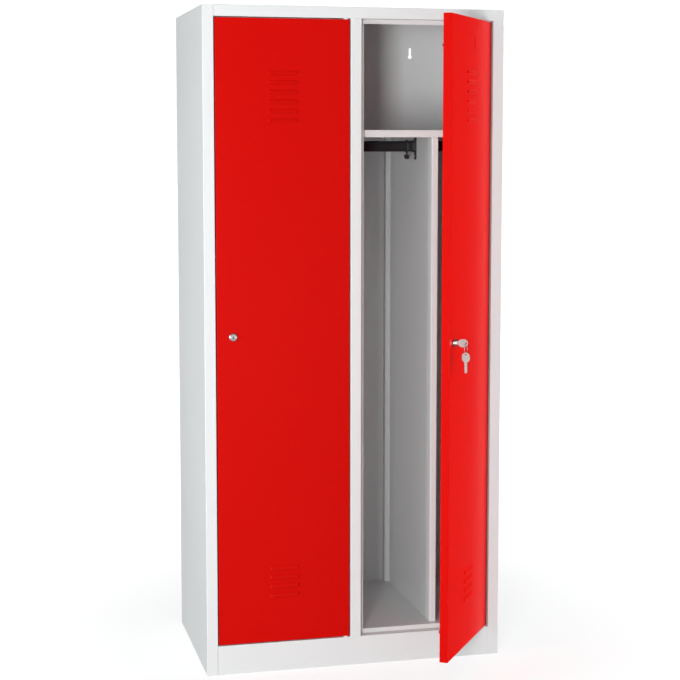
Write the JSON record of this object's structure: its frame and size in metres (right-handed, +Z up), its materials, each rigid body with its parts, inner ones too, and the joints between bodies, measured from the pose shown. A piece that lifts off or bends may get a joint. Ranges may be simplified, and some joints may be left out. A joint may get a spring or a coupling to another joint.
{
  "type": "clothing locker",
  "caption": "Steel clothing locker with hinged doors, hat shelves, dividers, clothes rails and cam locks.",
  "frame": {"origin": "middle of the footprint, on the floor", "axes": "+X to the right as seen from the front, +Y to the back, +Z up"},
  "size_m": [0.83, 0.7867, 1.8],
  "materials": {
    "carcass_paint": "fine-textured light grey powder coat",
    "door_paint": "smooth satin red powder coat",
    "rail_paint": "black powder coat",
    "black_plastic": "moulded black plastic",
    "white_plastic": "moulded white plastic",
    "zinc_steel": "zinc-plated steel",
    "nickel": "nickel plate",
    "ring_steel": "bright spring steel",
    "buffer_rubber": "black rubber"
  },
  "bodies": {
    "cabinet": {"left_side_panel": "carcass_paint", "right_side_panel": "carcass_paint", "left_stile": "carcass_paint", "right_stile": "carcass_paint", "left_rear_flange": "carcass_paint", "right_rear_flange": "carcass_paint", "top_panel": "carcass_paint", "bottom_panel": "carcass_paint", "back_panel": "carcass_paint", "base_frame": "carcass_paint", "centre_stile": "carcass_paint", "centre_partition": "carcass_paint", "partition_flange": "carcass_paint", "left_hat_shelf": "carcass_paint", "right_hat_shelf": "carcass_paint", "left_divider": "carcass_paint", "right_divider": "carcass_paint", "left_clothes_rails": "rail_paint", "right_clothes_rails": "rail_paint", "rail_sockets": "black_plastic", "rail_screws": "zinc_steel", "hinge_bushes": "white_plastic"},
    "left_door": {"left_door_skin": "door_paint", "left_door_stiffener": "door_paint", "left_hinge_blocks": "zinc_steel", "left_hinge_pins": "zinc_steel", "left_door_buffers": "buffer_rubber", "left_lock_housing": "nickel", "left_lock_nut": "zinc_steel"},
    "left_lock": {"left_lock_plug": "nickel", "left_lock_cam": "zinc_steel", "left_cam_screw": "zinc_steel"},
    "right_door": {"right_door_skin": "door_paint", "right_door_stiffener": "door_paint", "right_hinge_blocks": "zinc_steel", "right_hinge_pins": "zinc_steel", "right_door_buffers": "buffer_rubber", "right_lock_housing": "nickel", "right_lock_nut": "zinc_steel"},
    "right_lock": {"right_lock_plug": "nickel", "right_lock_cam": "zinc_steel", "right_cam_screw": "zinc_steel", "door_key": "nickel"},
    "key_ring": {"key_ring": "ring_steel"},
    "spare_key": {"spare_key": "nickel"},
    "left_wide_hook_a": {"left_wide_hook_a": "black_plastic"},
    "left_wide_hook_b": {"left_wide_hook_b": "black_plastic"},
    "left_narrow_hook": {"left_narrow_hook": "black_plastic"},
    "right_wide_hook_a": {"right_wide_hook_a": "black_plastic"},
    "right_wide_hook_b": {"right_wide_hook_b": "black_plastic"},
    "right_narrow_hook": {"right_narrow_hook": "black_plastic"}
  },
  "joints": [
    {"name": "left_door_hinge", "type": "hinge", "parent": "cabinet", "child": "left_door", "pos_m": [-0.0276, -0.243, 0.9], "axis": [0, 0, 1], "range_deg": [0, 110]},
    {"name": "right_door_hinge", "type": "hinge", "parent": "cabinet", "child": "right_door", "pos_m": [0.3724, -0.243, 0.9], "axis": [0, 0, 1], "range_deg": [-55, 55]},
    {"name": "left_lock_turn", "type": "hinge", "parent": "left_door", "child": "left_lock", "pos_m": [-0.338, -0.25, 0.924], "axis": [0, -1, 0], "range_deg": [0, 90]},
    {"name": "right_lock_turn", "type": "hinge", "parent": "right_door", "child": "right_lock", "pos_m": [0.2001, -0.50128, 0.924], "axis": [0.8192, -0.5736, 0], "range_deg": [0, 90]},
    {"name": "key_ring_swing", "type": "hinge", "parent": "right_lock", "child": "key_ring", "pos_m": [0.22549, -0.51906, 0.924], "axis": [-0.5736, -0.8192, 0], "range_deg": [-12, 60]},
    {"name": "spare_key_swing", "type": "hinge", "parent": "key_ring", "child": "spare_key", "pos_m": [0.22549, -0.51906, 0.8952], "axis": [-0.5736, -0.8192, 0], "range_deg": [-12, 60]},
    {"name": "left_wide_hook_a_slide", "type": "slide", "parent": "cabinet", "child": "left_wide_hook_a", "axis": [1, 0, 0], "range_m": [-0.038, 0.075]},
    {"name": "left_wide_hook_b_slide", "type": "slide", "parent": "cabinet", "child": "left_wide_hook_b", "axis": [1, 0, 0], "range_m": [-0.075, 0.012]},
    {"name": "left_narrow_hook_slide", "type": "slide", "parent": "cabinet", "child": "left_narrow_hook", "axis": [1, 0, 0], "range_m": [-0.072, 0.072]},
    {"name": "right_wide_hook_a_slide", "type": "slide", "parent": "cabinet", "child": "right_wide_hook_a", "axis": [1, 0, 0], "range_m": [-0.038, 0.055]},
    {"name": "right_wide_hook_b_slide", "type": "slide", "parent": "cabinet", "child": "right_wide_hook_b", "axis": [1, 0, 0], "range_m": [-0.08, 0.012]},
    {"name": "right_narrow_hook_slide", "type": "slide", "parent": "cabinet", "child": "right_narrow_hook", "axis": [1, 0, 0], "range_m": [-0.079, 0.079]}
  ]
}
